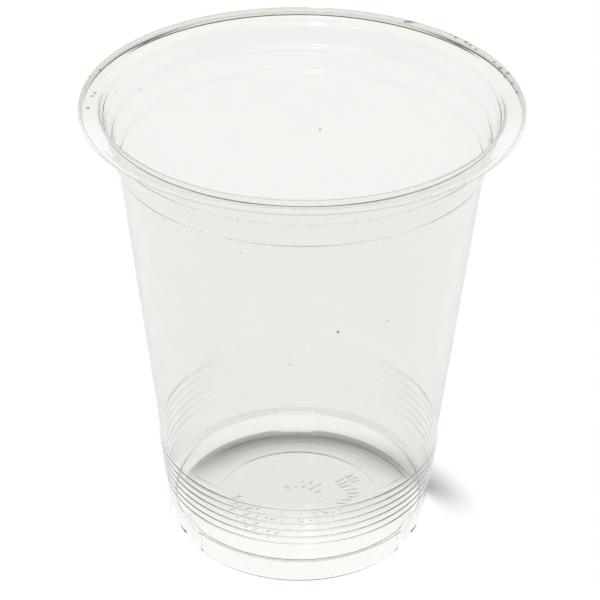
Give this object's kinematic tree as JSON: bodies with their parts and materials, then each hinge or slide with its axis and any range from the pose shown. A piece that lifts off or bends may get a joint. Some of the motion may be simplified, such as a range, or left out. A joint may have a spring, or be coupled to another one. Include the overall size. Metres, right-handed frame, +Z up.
{
  "type": "plastic disposable cup",
  "caption": "Clear disposable drinks cup with a rolled rim, stepped neck, ribbed band low on its tapered wall, fluted foot and raised floor.",
  "frame": {"origin": "centre of the foot's circle, on the surface that the cup stands on", "axes": "+Z up along the cup's axis through the mouth; +Y to the back of the pictured view, where one flute lies 1.25 degrees past it"},
  "size_m": [0.095, 0.095, 0.1085],
  "materials": {
    "clear_plastic": "clear, slightly warm and milky thin plastic, glossy, with fine flow streaks, specks and light scuffs on the rim"
  },
  "bodies": {
    "root": {"cup": "clear_plastic"}
  },
  "joints": []
}
